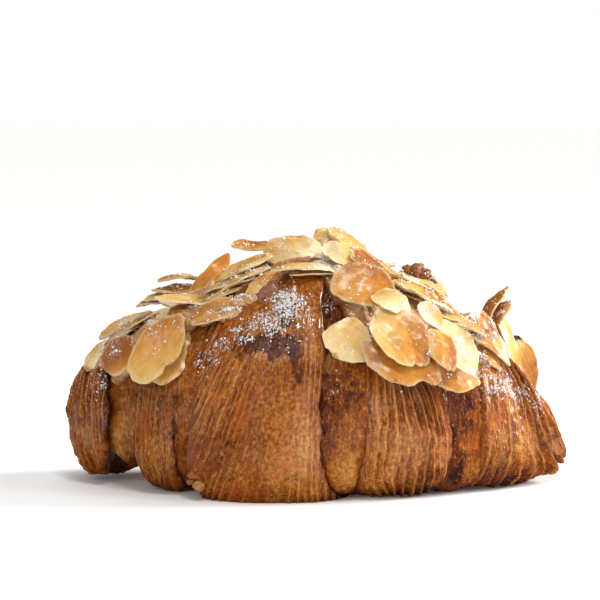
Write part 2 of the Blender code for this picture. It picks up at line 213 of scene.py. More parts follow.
def valuesOf(piece, name):
    values = np.empty(len(piece.data.vertices))
    piece.data.attributes[name].data.foreach_get("value", values)
    return values


def takeShape(piece):       # the corners and faces of a primitive of unit size, which is then removed
    shape = cornersOf(piece)[0] * mm
    faces = [tuple(face.vertices) for face in piece.data.polygons]
    bpy.data.objects.remove(piece)
    return shape, faces


def linked(name, data):     # a new object in the scene
    thing = bpy.data.objects.new(name, data)
    bpy.context.scene.collection.objects.link(thing)
    return thing


def joinCopies(name, copies, faces, finish):        # one piece of many shapes that have the same faces
    mesh = bpy.data.meshes.new(name)
    starts = range(0, len(copies) * len(copies[0]), len(copies[0]))
    joined = [tuple(k + start for k in face) for start in starts for face in faces]
    mesh.from_pydata((np.concatenate(copies) * mm).tolist(), [], joined)
    mesh.shade_smooth()
    mesh.materials.append(finish)
    return linked(name, mesh)


class Wire:     # one output of a node; sums on it add Math nodes
    def __init__(self, tree, socket):
        self.tree, self.socket = tree, socket

    def sum(self, operation, first, second, clamp=False):
        node = self.tree.nodes.new("ShaderNodeMath")
        node.operation, node.use_clamp = operation, clamp
        for slot, value in zip(node.inputs, (first, second)):
            connect(self.tree, slot, value)
        return Wire(self.tree, node.outputs[0])

    def __add__(self, other): return self.sum("ADD", self, other)
    def __radd__(self, other): return self.sum("ADD", other, self)
    def __sub__(self, other): return self.sum("SUBTRACT", self, other)
    def __rsub__(self, other): return self.sum("SUBTRACT", other, self)
    def __mul__(self, other): return self.sum("MULTIPLY", self, other)
    def __rmul__(self, other): return self.sum("MULTIPLY", other, self)
    def held(self): return self.sum("ADD", self, 0.0, clamp=True)       # kept between 0 and 1
    def over(self, low, high): return self.sum("MULTIPLY", self - low, 1 / (high - low), clamp=True)


def connect(tree, slot, value):
    if isinstance(value, Wire):
        tree.links.new(value.socket, slot)
    elif isinstance(value, tuple) and len(value) == 3 and slot.type == "RGBA":
        slot.default_value = (*value, 1)
    else:
        slot.default_value = value


class Finish:   # a material and the nodes that are added to it
    def __init__(self, name, **fixed):
        self.material = bpy.data.materials.new(name)
        self.material.use_nodes = True
        self.tree = self.material.node_tree
        self.shader = self.tree.nodes["Principled BSDF"]
        self.feed(**fixed)
        self.spot = self.add("TexCoord", out="Object")

    def add(self, kind, settings=None, sockets=None, out=0):
        node = self.tree.nodes.new("ShaderNode" + kind)
        for key, value in (settings or {}).items():
            if key == "stops":
                ramp = node.color_ramp.elements
                while len(ramp) < len(value):
                    ramp.new(0.5)
                for stop, (at, colour) in zip(ramp, value):
                    stop.position, stop.color = at, (*colour, 1)
            else:
                setattr(node, key, value)
        for key, value in (sockets or {}).items():
            connect(self.tree, node.inputs[key], value)
        return Wire(self.tree, node.outputs[out])

    def value(self, name, out="Fac"):
        return self.add("Attribute", {"attribute_name": name}, out=out)

    def grain(self, size, detail=2.0, at=None):      # noise with grains of a size in mm, 0 to 1
        sockets = {"Vector": at or self.spot, "Scale": 1000 / size, "Detail": detail}
        return self.add("TexNoise", None, sockets, "Fac")

    def drawn(self, at, scale, detail):     # noise drawn out along a surface, 0 to 1
        spot = self.add("Mapping", None, {"Vector": at, "Scale": scale})
        return self.add("TexNoise", None, {"Vector": spot, "Scale": 1.0, "Detail": detail}, "Fac")

    def mix(self, share, first, second):
        return self.add("Mix", {"data_type": "RGBA"}, {0: share, 6: first, 7: second}, 2)

    def ramp(self, value, stops):
        return self.add("ValToRGB", {"stops": stops}, {"Fac": value})

    def feed(self, **sockets):      # sets or links sockets of the shader
        for socket, value in sockets.items():
            connect(self.tree, self.shader.inputs[socket.replace("_", " ")], value)

    def relief(self, height, distance, strength):
        sockets = {"Height": height, "Distance": distance * mm, "Strength": strength}
        self.feed(Normal=self.add("Bump", None, sockets))


def tint(red, green, blue):     # a colour as it looks in this light, 0 to 255
    return tuple(max(((c / 255 + 0.055) / 1.055) ** 2.4 - 0.014, 0.003) / 1.55 for c in (red, green, blue))


crustLook = {
    "bake": [(0.0, tint(240, 198, 128)), (0.2, tint(218, 158, 84)), (0.4, tint(188, 118, 54)),
             (0.6, tint(150, 84, 34)), (0.8, tint(110, 58, 26)), (1.0, tint(62, 34, 22))],
    # ridge is the colour of a painted highlight on the leaves' edges
    "ridge": tint(226, 142, 78), "plum": tint(114, 62, 44), "ember": tint(190, 92, 34),
    "caramel": tint(76, 42, 34), "sugar": tint(250, 247, 248), "roughness": 0.48, "glaze": 0.9,
    "height": 0.55,
}


def crustFinish():
    look = crustLook
    finish = Finish("crust", Coat_Roughness=0.1, IOR=1.45, Specular_IOR_Level=0.18, Coat_IOR=1.45)
    along = finish.value("leafPlace", "Vector")      # place on the leaves: across them, and round the roll

    def fibres(width, length, detail):
        return finish.drawn(along, (1 / width, 1 / length, 1 / length), detail)

    lines, dashes, specks = fibres(0.6, 9, 2.0), fibres(0.4, 1.7, 3.0), fibres(0.45, 0.6, 2.0)
    patches, tones = fibres(3.2, 7.0, 3.0), fibres(5.0, 11.0, 2.0)
    skin = finish.grain(1.0, 4.0)
    smooth, groove, ridge = finish.value("smooth"), finish.value("groove"), finish.value("ridge")
    glaze = finish.value("glaze")
    rough = 1 - 0.75 * smooth

    mottle = (0.5 - lines) * 0.35 + (0.5 - dashes) * 0.95 + (0.5 - specks) * 0.5 + (0.5 - patches) * 0.6
    bake = finish.value("bake") + mottle * rough
    # painted shade darkens the hollows between the leaves, and a painted highlight lightens their edges
    bake = bake + groove * 0.2 - ridge * 0.12 + (0.5 - skin) * (0.35 + smooth * 0.75)
    colour = finish.ramp(bake.held(), look["bake"])
    colour = finish.mix((patches.over(0.52, 0.72) * 0.55 * rough).held(), colour, look["plum"])
    colour = finish.mix(tones.over(0.5, 0.7) * 0.4, colour, look["ember"])
    # painted highlight: the leaves' edges are painted a lighter orange
    colour = finish.mix((ridge * lines.over(0.3, 0.6) * 0.62).held(), colour, look["ridge"])
    glitter = specks.over(0.60, 0.74) * dashes.over(0.4, 0.6) * rough
    colour = finish.mix((glitter * 0.6).held(), colour, look["bake"][0][1])
    caramel = (finish.value("caramel") + (finish.grain(1.6, 5.0) - 0.5) * 1.7).over(0.3, 0.75)
    broken = (caramel * (0.42 + finish.grain(1.3, 4.0) * 0.9)).held()
    colour = finish.mix(broken, colour, look["caramel"])
    dusty = finish.value("sugar") + (finish.grain(0.7, 5.0) - 0.5) * 2.2 + (dashes - 0.5) * 1.6
    dusty = (dusty - groove * 0.3).over(0.76, 0.98)
    finish.feed(Base_Color=finish.mix(dusty * 0.85, colour, look["sugar"]))

    dull = (0.4 - glaze).held()
    roughness = look["roughness"] + (specks - 0.5) * 0.5 + dusty * 0.4 - smooth * 0.1 + dull * 1.2
    coat = glaze * look["glaze"] * (1 - dusty) * (1 - caramel * 0.75) + ridge * (1 - dusty) * 0.18
    finish.feed(Roughness=roughness.held(), Coat_Weight=coat.held())
    height = (lines * 0.5 + dashes * 0.7 + specks * 0.5) * rough + skin * 0.3
    finish.relief(height + finish.grain(0.3, 3.0) * 0.15 + dusty * 0.8, look["height"], 0.8)
    return finish.material


almondLook = {
    "ivory": tint(262, 244, 200), "honey": tint(244, 200, 120), "amber": tint(222, 150, 62),
    # edge is the colour of a painted highlight on the flakes' rims
    "brown": tint(172, 106, 54), "toast": tint(176, 106, 46), "edge": tint(255, 236, 190),
    "burnt": tint(46, 28, 20), "speck": tint(130, 72, 40), "sugar": tint(255, 252, 248),
    "roughness": 0.3, "height": 0.26,
}


def almondFinish():
    look = almondLook
    finish = Finish(
        "toastedAlmond", Coat_Weight=0.25, Coat_Roughness=0.22, Specular_IOR_Level=0.35,
        Subsurface_Weight=0.3, Subsurface_Scale=0.0016, Subsurface_Radius=(1.0, 0.62, 0.26), IOR=1.46)
    own = finish.value("flakePlace", "Vector")      # place on the flake, each in its own part of the noise
    streaks = finish.drawn(own, (0.16, 1.1, 1.0), 3.0)
    cloud, veins = finish.grain(3600, 3.0, own), finish.grain(1000, 3.0, own)
    tone = finish.value("tone") + (cloud - 0.5) * 0.42 + (veins - 0.5) * 0.2 + (streaks - 0.5) * 0.3
    stops = [(0.0, look["ivory"]), (0.36, look["honey"]), (0.72, look["amber"]), (1.0, look["brown"])]
    colour = finish.ramp(tone.held(), stops)
    rim = finish.value("rim")
    toasted = (rim + (cloud - 0.5) * 1.2 + (veins - 0.5) * 0.4).over(1.02, 1.2)
    # painted highlight: the rim and the cut wall are painted lighter, as if they catch the light
    colour = finish.mix(rim.over(0.86, 0.98) * 0.4, colour, look["edge"])
    colour = finish.mix(toasted * 0.75, colour, look["toast"])
    colour = finish.mix(rim.over(1.01, 1.08) * 0.75, colour, look["edge"])
    specks = finish.grain(800, 2.0, own).over(0.7, 0.76)
    colour = finish.mix(specks * 0.6, colour, look["speck"])
    scorched = (finish.value("char") + (finish.grain(1400, 2.0, own) - 0.5) * 0.5).over(0.42, 0.62)
    colour = finish.mix(scorched, colour, look["burnt"])
    dust = (finish.value("sugar") + (finish.grain(0.42, 3.0) - 0.5) * 2.0).over(0.72, 0.95)
    colour = finish.mix(dust * 0.45, colour, look["sugar"])
    finish.feed(Base_Color=colour, Roughness=(look["roughness"] + dust * 0.5 + (cloud - 0.5) * 0.3).held())
    finish.relief(streaks * 0.7 + veins * 0.6 + dust * 0.8, look["height"], 0.7)
    return finish.material


creamLook = {
    "pale": tint(236, 200, 146), "tan": tint(206, 150, 90), "brown": tint(146, 82, 40),
    "sugar": tint(250, 246, 242), "roughness": 0.5, "height": 0.35,
}


def creamFinish():
    look = creamLook
    finish = Finish(
        "almondCream", Subsurface_Weight=0.12, Subsurface_Scale=0.0012, Subsurface_Radius=(1.0, 0.5, 0.22),
        IOR=1.42)
    bake = finish.value("bake") + (finish.grain(2.6, 3.0) - 0.5) * 0.5
    bake = bake + (finish.grain(0.8, 3.0) - 0.5) * 0.5
    colour = finish.ramp(bake.held(), [(0.0, look["pale"]), (0.45, look["tan"]), (1.0, look["brown"])])
    dust = (finish.value("sugar") + (finish.grain(0.5, 4.0) - 0.5) * 2.2).over(0.7, 0.95)
    colour = finish.mix(dust * 0.7, colour, look["sugar"])
    finish.feed(Base_Color=colour, Roughness=(look["roughness"] + (finish.grain(1.4) - 0.5) * 0.3).held())
    finish.relief(finish.grain(1.1, 5.0) + finish.grain(0.5, 2.0) * 0.4, look["height"], 0.9)
    return finish.material


def sugarFinish():
    # the sugar glows faintly, painted light that brightens it where it lies in shade
    finish = Finish(
        "glowingPowderSugar", Subsurface_Weight=0.2, Subsurface_Scale=0.0005, Roughness=0.7,
        Emission_Strength=0.12, Emission_Color=(1, 1, 1))
    finish.feed(Base_Color=finish.mix(finish.grain(0.6), tint(246, 244, 246), tint(255, 253, 250)))
    return finish.material


crust, almond, creamSkin, sugarSkin = crustFinish(), almondFinish(), creamFinish(), sugarFinish()
print("croissant: finishes ready")


# A wrap runs from start to end along the roll and stands proud of it, less so on top where it is low.
# sink, draw: how far its foot goes down, and how far its two edges are drawn along the roll below
# full, tipRise, drawn, blunt, droop: the shape of a tip
# facing, pitch, step, waver: which way its leaves face, their width, height and wandering
# slant, ribs: how far they lean and stand out, along x; broken, frill, comb: how they fade and fray
# fibre, grain: threads and specks; smooth, calm: the glazed strap and a smoother stretch
# bake: 0 pale to 1 burnt, dark at foot and tip, darker in the rolled-in edges as painted shade;
# paintedUnderLight: paler below, painted bounced light; glaze, and its shine along x
wraps = {
    "tipLeft": {
        "start": -73, "end": -49.3, "seed": 0, "proud": 1.8, "low": 0.9, "sink": 0.5, "draw": (0, -12),
        "full": 2.4, "tipRise": (1, 7), "drawn": 0.8, "blunt": 0.5,
        "facing": -1, "pitch": 1.9, "step": 1.9, "waver": 0.5, "frill": 1, "comb": 3.4,
        "slant": [(-73, 0), (-47, 0)], "ribs": [(-73, 1.2), (-47, 1.2)],
        "fibre": 0.1, "grain": 0.05, "bake": 0.55, "dark": 0.2, "paintedUnderLight": 0.2, "glaze": 0.8,
    },
    "shoulderLeft": {
        "start": -42, "end": -29.5, "seed": 1, "proud": 0.4, "sink": 4,
        "facing": -1, "pitch": 1.5, "step": 0.8, "waver": 0.6, "comb": 0.3,
        "slant": [(-45, 0.02), (-30, 0.05)], "ribs": [(-43, 1.2), (-37, 1), (-34, 0.5), (-29, 0.35)],
        "fibre": 0.1, "grain": 0.08, "bake": 0.57, "glaze": 0.45,
    },
    "belly": {
        "start": -27, "end": 1.5, "seed": 2, "proud": 1.4, "sink": 7, "draw": (5, 8),
        "facing": -1, "pitch": 1.5, "step": 0.9, "waver": 0.8, "comb": 0.7,
        "slant": [(-27, 0.3), (-16, 0.2), (-8, 0.04), (0, 0)],
        "ribs": [(-27, 1), (-19, 0.9), (-13, 0.25), (-7, 0.25), (-4, 0.9), (1.5, 1.1)],
        "fibre": 0.12, "grain": 0.13, "smooth": 1, "calm": 0.9, "bake": 0.53, "glaze": 0.4,
        "shine": [(-27, 0.1), (-20, 0), (-8, 0), (-3, 0.45), (1.5, 0.45)],
    },
    "shoulderRight": {
        "start": 9.5, "end": 28.5, "seed": 3, "proud": 0.4, "sink": 5.5,
        "facing": 1, "pitch": 1.9, "step": 1.35, "waver": 1.5, "broken": 0.5, "comb": 1.7,
        "slant": [(6, -0.02), (16, -0.08), (30, -0.12)], "ribs": [(9, 0.3), (12, 1.1), (30, 1.1)],
        "fibre": 0.12, "grain": 0.05, "bake": 0.595, "glaze": 0.6,
    },
    "tipRight": {
        "start": 37, "end": 73, "seed": 4, "proud": 1, "sink": 4.5,
        "drawn": 1, "blunt": -1, "droop": 2.6,
        "facing": 1, "pitch": 2.4, "step": 1.8, "waver": 0.9, "frill": 1.2, "comb": 2,
        "slant": [(37, 0), (46, -0.08), (56, -0.2), (66, -0.4), (73, -0.55)],
        "ribs": [(37, 0.8), (56, 1), (64, 1.3), (73, 1.1)],
        "fibre": 0.14, "grain": 0.05, "bake": 0.6, "dark": 0.14, "glaze": 0.4,
    },
}
sheetForm = {
    "along": 0.17, "rows": 420, "swell": 0.9, "root": 7.0,      # columns' width, rows, bulge, edge's depth
    "tucked": ((3.2, 1), (1.4, 0.55), (0.3, 0.28), (0.5, 0.1), (2.2, 0)),      # inset, share of the root
    "tip": ((0.25, 0), (0.5, 0), (1.0, 0), (1.8, 0), (3.4, 0), (6.2, 0)),
    "floor": 0.02,      # how high the lowest places stand
}


def wrapProfile(wrap):      # x and height over the roll along a wrap, from one rolled-in edge to the other
    ends = []
    for at, inward in ((wrap["start"], 1), (wrap["end"], -1)):
        edge = sheetForm["tip" if abs(at) == rollForm["reach"] else "tucked"]
        ends.append([(at + inward * inset, -share * sheetForm["root"]) for inset, share in edge])
    first, last = ends[0], ends[1][::-1]
    low, high = first[-1][0], last[0][0]
    shares = np.linspace(0, 1, 24)[1:-1]
    face = [(low + (high - low) * t, sheetForm["swell"] * math.sin(math.pi * t)) for t in shares]
    return smoothLine(np.array(first + face + last))


def smoothLine(line):       # cuts the corners of an open line, twice
    for _ in range(2):
        cut = np.empty((2 * len(line), 2))
        cut[0], cut[-1] = line[0], line[-1]
        cut[1:-1:2] = line[:-1] * 0.75 + line[1:] * 0.25
        cut[2::2] = line[:-1] * 0.25 + line[1:] * 0.75
        line = cut
    return line


# stains of caramel, sugar or paler dough on the near side, as x, z, half width, half height, amount
marks = {
    "caramel": [
        (-13, 46, 7.5, 5, 1), (-19, 45.8, 5, 3.4, 1), (-8.2, 44.4, 3.6, 4.4, 0.9),
        (-6.4, 38.5, 2, 3.6, 0.6), (-10, 52, 3, 2.4, 0.8), (-24, 44, 5, 3, 0.45), (-33.5, 41, 3, 5, 0.5),
        (-9.5, 55.5, 3.5, 3, 0.7), (-2.5, 53, 2.5, 3, 0.4), (5, 36, 5, 5, 0.5), (8.6, 31.5, 5, 6, 0.58),
        (5, 27, 4, 4, 0.3), (20, 28, 3, 3, 0.3), (-41.7, 29, 2.2, 4, 0.5), (-41.8, 20, 1.8, 6, 0.6),
        (38.4, 27, 4, 3, 0.2), (-63, 33, 4, 3, 0.4),
    ],
    "sugar": [
        (-9.5, 56.6, 7, 6.4, 0.95), (-5.5, 52.6, 4, 4, 0.6), (-14.2, 52, 6, 4.6, 0.85),
        (-9, 46.6, 5, 3, 0.5), (-18.6, 51.4, 5, 3.4, 0.75), (-22.9, 48.4, 5, 3.6, 0.75),
        (-27.3, 45.5, 4.5, 3.6, 0.7), (-31.2, 43, 3.6, 4.2, 0.65), (-35.1, 42, 2.6, 5, 0.6),
        (-16.6, 45.6, 4, 2.6, 0.5), (2.4, 58, 3, 4.2, 0.7), (-3, 48, 2.4, 3.4, 0.5),
        (-33, 36.5, 3.6, 4.5, 0.4), (-66.4, 31, 4.5, 6, 0.55), (52.4, 32.2, 6.5, 5, 0.76),
        (59.2, 28.6, 6, 4.6, 0.78), (64.8, 24.2, 4, 4.4, 0.68), (3.5, 34, 4, 6, 0.45),
        (9, 22, 4, 7, 0.25), (23, 32, 8, 4, 0.3), (36, 32, 5, 4, 0.3),
    ],
    "pale": [
        (-14, 16, 7, 13, 0.25), (-5, 22, 2.4, 18, 0.3), (14, 7, 3.5, 9, 0.3), (44, 8, 4, 4, 0.35),
        (36, 10, 4, 6, 0.25), (-59.5, 22, 2.2, 9, 0.3), (24, 22, 2, 8, 0.3), (-26, 8, 4, 4, 0.2),
    ],
}


def stain(at, spots, seed, ragged):
    x, y, z = at.T
    rough = noise(x / 1.6, z / 1.6, seed) * 0.6 + noise(x / 0.6, z / 0.6, seed + 1) * 0.4
    total = np.zeros(len(x))
    for sx, sz, wide, high, amount in spots:
        away = np.hypot((x - sx) / wide, (z - sz) / high) + rough * ragged
        total = np.maximum(total, amount * ease(-away, -1.25, -0.4))
    return total * (y < 8)


# what the crust's finish reads; across is the distance across the leaves
def crustMarks(piece, at, seed, across, bake, glaze, groove, ridge, smooth):
    x, y, z = at.T
    behind = ease(y, 4, 14)
    browned = behind * 0.6 * ease(noise(x / 9, z / 7, seed + 5), 0.45, 0.9) * ease(z, 10, 22)
    dusted = behind * 0.5 * ease(noise(x / 8, z / 8, seed + 6), 0.2, 0.9) * ease(z, 30, 46)
    values = {
        "bake": bake - 0.3 * stain(at, marks["pale"], seed + 3, 0.25),
        "caramel": np.maximum(stain(at, marks["caramel"], seed, 0.32), browned),
        "sugar": stain(at, marks["sugar"], seed + 9, 0.3) + dusted,
        "glaze": glaze,
    }
    for name, value in values.items():
        mark(piece, name, np.clip(value, 0, 1))
    for name, value in (("groove", groove), ("ridge", ridge), ("smooth", smooth)):
        mark(piece, name, np.broadcast_to(value, x.shape))
    mark(piece, "leafPlace", np.stack((across + 7.3 * seed, y, z), axis=-1))


def wander(angle, seed):        # how far a wrap's edge strays along the roll
    lumps = around(0, angle, seed)
    return 0.8 * lumps(1, 11, 0) + 0.4 * lumps(1, 34, 1) + 0.15 * lumps(1, 120, 2)


def makeWrap(name, wrap):
    line = wrapProfile(wrap)
    steps = np.hypot(*np.diff(line, axis=0).T)
    steps = steps * np.where(line[1:, 1] < -1.5, 0.3, 1)        # few columns where it is out of sight
    run = np.concatenate(([0], np.cumsum(steps)))
    sheet, u, v = gridSheet(name, int(run[-1] / sheetForm["along"]), sheetForm["rows"])
    x, offset = (np.interp(u * run[-1], run, values) for values in line.T)
    angle, seed = v * 360, 100 * (wrap["seed"] + 1)
    above = np.sin(np.radians(angle))       # 1 on top of the roll, -1 below it
    face = ease(offset, -1.2, 0.2)      # 1 on the face, 0 on the rolled-in edges

    edges = [(wrap["start"], 1), (wrap["end"], -1)]
    inner = np.min([way * (x - edge) for edge, way in edges if abs(edge) < rollForm["reach"]], axis=0)
    inner = np.maximum(inner, 0)        # distance from the nearest rolled-in edge
    under = ease(-np.sin(np.radians(angle + 18)), 0.15, 0.95) * np.exp(-inner / 8)
    x = x + np.where(u < 0.5, *wrap.get("draw", (0, 0))) * under
    stray = np.where(u < 0.5, wander(angle, seed + 20), wander(angle, seed + 22))
    x = x + stray * np.exp(-inner / 3)
    out, lumps = np.abs(x), around(x, angle, seed)

    ends = {"full": wrap.get("full", 2.0), "tipRise": wrap.get("tipRise")}
    base = onRoll(x, angle, wrap["proud"] + offset, wrap["sink"], **ends)
    bend = 0.9 * lumps(11, 10, 0) + 0.28 * lumps(5, 30, 1) + 0.07 * lumps(2, 70, 2)
    slant = follow(x, wrap["slant"]) * (base[:, 2] - 22)
    q = (x + bend * wrap["waver"] - slant) * wrap["facing"]
    over, own = leaves(q, wrap["pitch"], seed + 3)
    fade = 0.6 + 0.5 * lumps(5, 16, 4)
    fade = np.clip(fade + wrap.get("broken", 0) * lumps(2, 40, 16), 0.1, 1)
    smooth = wrap.get("smooth", 0) * ease(base[:, 2], 38, 45)       # the glazed strap over the top
    smooth = smooth * ease(base[:, 0] + 0.35 * (base[:, 2] - 45), -24, -17)
    ribs = fade * follow(x, wrap["ribs"]) * (1 - 0.85 * smooth)
    across = np.where(over < 0.6, over / 1.2, 0.5 + (over - 0.6) / 0.8)
    crest = 1 - np.abs(2 * across - 1)      # 1 on the leaf's edge
    relief = wrap["step"] * (0.45 + 0.75 * own) * ribs * (crest**2.2 * 1.25 - 0.45)
    relief = relief + wrap.get("frill", 0) * ease(out, 60, 68) * (own - 0.45) * 1.6
    # masks of the hollows, for painted shade and less sugar, and of the leaves' edges, for a painted
    # highlight and more coat
    groove, ridge = 1 - ease(crest, 0.02, 0.4), ease(crest, 0.72, 0.95)

    thread = (x + bend * 0.8 + lumps(1.6, 40, 5) * 0.22 - slant) * wrap["facing"]
    overFine, ownFine = leaves(thread, 0.7, seed + 6, 0.35)
    fadeFine = np.clip(0.5 + 0.6 * lumps(4, 26, 7), 0.1, 1) * (1 - 0.7 * smooth)
    relief = relief + wrap["fibre"] * fadeFine * (np.sin(overFine * math.pi) - 0.5) * (0.5 + ownFine)
    speck = lumps(0.8, 220, 8)
    dash = lumps(0.6, 80, 9)
    pucker = lumps(2.6, 60, 14, 2)
    relief = relief + (wrap["grain"] * speck + 0.08 * dash + 0.16 * pucker) * (1 - 0.6 * smooth)
    relief = relief + 0.28 * ease(lumps(2.4, 80, 10), 0.62, 1.1)      # blisters
    relief = relief * ease(capAt(x), 0.12, 0.5)

    combed = leaves(q, 1.6 * wrap["pitch"], seed + 15)[1]        # leaf ends at the foot, cut off in steps
    comb = wrap["comb"] * ease(-above, 0.45, 0.8) * (combed - 0.6) * face
    proud = wrap["proud"] * (1 - wrap.get("low", 0) * ease(above, 0.4, 0.95))
    offset = proud + offset + wobbleAt(x, angle, wrap["seed"]) + (relief + comb) * face
    at = onRoll(x, angle, offset, wrap["sink"], **ends)
    at[:, 0] -= wrap.get("drawn", 0) * np.sign(x) * ease(out, 58, 71)
    at[:, 0] += wrap.get("blunt", 0) * np.sign(x) * ease(out, 60, 71) * ease(-above, -0.1, 0.7)
    at[:, 2] -= wrap.get("droop", 0) * ease(out, 61, 68) * ease(above, 0.0, 0.7)
    at[:, 2] = np.maximum(at[:, 2], sheetForm["floor"] * (1 + speck))
    place(sheet, at)

    z = at[:, 2]
    broad = lumps(12, 14, 11, 3) * 0.09 + lumps(1.5, 18, 12) * 0.04
    bake = wrap["bake"] + broad + 0.1 * (own - 0.5) * fade
    # the last term darkens the rolled-in edges between the wraps, painted shade
    bake = bake + 0.08 * ease(z / 60, 0.55, 0.85) + 0.14 * ease(-z, -5, -0.5) + 0.2 * (1 - face)
    # paintedUnderLight paints the underside paler, painted bounced light in its shade
    # the glazed strap is painted paler, a painted highlight over it
    bake = bake - 0.08 * smooth - wrap.get("paintedUnderLight", 0) * ease(-above, 0.4, 0.9)
    bake = bake + wrap.get("dark", 0) * np.maximum(ease(out, 58, 71), ease(-z, -14, -5))
    glaze = wrap["glaze"] * (0.6 + 0.4 * lumps(4, 24, 13)) + 0.4 * smooth
    glaze = glaze * ease(z, 3, 16) + follow(x, wrap.get("shine", [(0, 0)])) * ease(z, 3, 12)
    calm = wrap.get("calm", 0) * shelf(at[:, 0], -12, 10) * ease(-z, -42, -34)
    crustMarks(sheet, at, seed, q, bake, glaze, groove * ribs, ridge * ribs, np.maximum(smooth, calm))
    closeUp(sheet)
    return sheet


innerLook = {
    "start": -68.0, "end": 68.0, "along": 0.42, "rows": 300, "bake": 0.60,
    "sink": [       # of its foot
        (-68, -3), (-53, -3), (-50, -1.2), (-48, -2.4), (-46, -4.4), (-43.5, -3.6), (-42, -1), (-36, 1),
        (-30, 2.5), (0, 5), (68, 5),
    ],
    "depth": [      # under the wraps
        (-68, -3.4), (-57, -3), (-50, -2.4), (-46, -1.6), (-42, -1.2), (-33, -1), (-29, -0.3),
        (-25, -1.2), (-10, -3.4), (-2, -3), (3.5, -1.3), (8, -1.2), (12, -1.8), (28, -1.6), (32, -0.6),
        (37, -0.9), (68, -3.4),
    ],
    "bulge": (6.2, 9.5, 4.6, 9.5, 1.5),        # the pale blister: x, z, half width, half height, rise
}


def makeInnerRoll():
    look = innerLook
    long = look["end"] - look["start"]
    sheet, u, v = gridSheet("innerLayers", int(long / look["along"]), look["rows"])
    x, angle = look["start"] + long * u, v * 360
    sink, neck = follow(x, look["sink"]), shelf(x, -49, 6)
    offset = wobbleAt(x, angle) + follow(x, look["depth"])
    lumps = around(x, angle, 900)
    wrinkle = 0.2 * lumps(1.4, 16, 1, 2) + 0.25 * lumps(6, 18, 2, 2)
    blister = ease(lumps(2.2, 90, 3), 0.5, 1.0)
    fine = 0.06 * lumps(0.8, 200, 4) + 0.06 * lumps(0.6, 90, 5)
    over, own = leaves(x + 1.2 * lumps(9, 12, 7), 2.1, 908, 0.5)
    layers = ease(lumps(6, 14, 9), -0.3, 0.6) * (1 - 0.8 * neck)
    offset = offset + wrinkle * (1 - 0.6 * neck) + 0.3 * blister + fine
    offset = offset + layers * 0.5 * (np.sin(over * math.pi) ** 3 - 0.4) * own
    at = onRoll(x, angle, offset, sink, 0.6)
    bx, bz, wide, high, rise = look["bulge"]
    dome = np.clip(1 - ((at[:, 0] - bx) / wide) ** 2 - ((at[:, 2] - bz) / high) ** 2, 0, 1)
    dome = np.sqrt(dome) * (at[:, 1] < 8)
    at = onRoll(x, angle, offset + rise * dome, sink, 0.6)
    at[:, 2] = np.maximum(at[:, 2], sheetForm["floor"])
    place(sheet, at)

    z = at[:, 2]
    bake = look["bake"] + lumps(7, 18, 6, 3) * 0.14 - 0.1 * blister
    bake = bake + 0.03 * shelf(x, -45, 4.5) * ease(z, 12, 20) + 0.05 * shelf(x, 5, 5) * ease(z, 17, 22)
    # a painted shadow line beside the belly's right edge at x 1, and painted shade in the recess at x 31
    bake = bake + 0.12 * ease(-z, -10, -1) + 0.1 * hump(x, 1, 2.5) + 0.30 * hump(x, 31, 6)
    bake = bake - 0.09 * ease(dome, 0.2, 0.7)
    # the underside near the left tip is painted paler, painted bounced light in its shade
    bake = bake - 0.2 * ease(-np.sin(np.radians(angle)), 0.4, 0.9) * ease(-x, 44, 50)
    glaze = (0.16 + 0.2 * lumps(4, 24, 8)) * ease(z, 6, 20) * (1 - 0.7 * hump(x, 33, 8))
    smooth = 0.35 + 0.3 * ease(dome, 0.1, 0.5) + 0.45 * neck
    crustMarks(sheet, at, 910, x * 0.8, bake, glaze, 0.0, 0.0, smooth)
    closeUp(sheet)
    return sheet


pastryPieces = [makeInnerRoll()] + [makeWrap(name, wrap) for name, wrap in wraps.items()]
for piece in pastryPieces:
    piece.data.materials.append(crust)
    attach(piece, "root")
    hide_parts("pastry")
print("croissant: pastry ready")


creamForm = {
    "level": 0.2, "thick": 1.2, "ends": (-66.0, 62.0), "columns": 300, "rows": 150,
    "hem": (-5.0, -1.0, -0.3),      # how far the outermost rows are tucked in
}


def makeCream():
    form = creamForm
    sheet, u, v = gridSheet("almondCream", form["columns"], form["rows"])
    left, right = form["ends"]
    x = left + (right - left) * u
    near = 60 - 36 * shelf(x, -46, 16) - 40 * shelf(x, 26, 22) + 3 * np.sin(0.7 * x)
    far = 136 + 18 * hump(x, -24, 18) + 16 * hump(x, 36, 15) + 3 * np.sin(0.6 * x)
    near = near + 2.5 * noise(x / 3, 0, 701) + 1.2 * noise(x / 1.2, 0, 702)
    far = far + 2.5 * noise(x / 3, 0, 703) + 1.2 * noise(x / 1.2, 0, 704)
    angle = near + (far - near) * v
    inset = np.minimum(v, 1 - v)
    thick = form["thick"] * np.minimum(1, 0.45 + 2.2 * inset)
    thick = thick * np.minimum(1, 0.1 + np.minimum(x - left, right - x) / 11)
    thick = thick + 0.4 * hump(x, 24, 15) + 0.2 * hump(x, -45, 12) + 1.2 * hump(x, 9, 5)
    thick = thick + 0.4 * unevenness(3 * x, 3 * np.radians(angle), 4)
    thick = thick + 2.4 * shelf(x, -27, 8) * ease(-angle, -84, -72)
    lumps = around(x, angle, 700)
    rough = 0.6 * lumps(4.5, 60, 5, 3) + 0.22 * lumps(1.2, 220, 6, 2)
    row = np.minimum(inset * form["rows"], np.minimum(u, 1 - u) * form["columns"])      # from the edge
    tuck = np.select([row < 0.5, row < 1.5, row < 2.5], form["hem"], 0.0)
    place(sheet, onRoll(x, angle, form["level"] + np.where(row < 0.5, 0, thick + rough) + tuck))
    bake = 0.34 + 0.1 * ease(x, 12, 30) + 0.3 * ease(-inset, -0.12, 0)
    mark(sheet, "bake", np.clip(bake + 0.25 * lumps(4, 60, 7, 3), 0, 1))
    mark(sheet, "sugar", np.clip(0.45 + 0.4 * lumps(5, 50, 8, 2), 0, 0.9))
    closeUp(sheet)
    return sheet


cream = makeCream()
cream.data.materials.append(creamSkin)
print("croissant: cream ready")


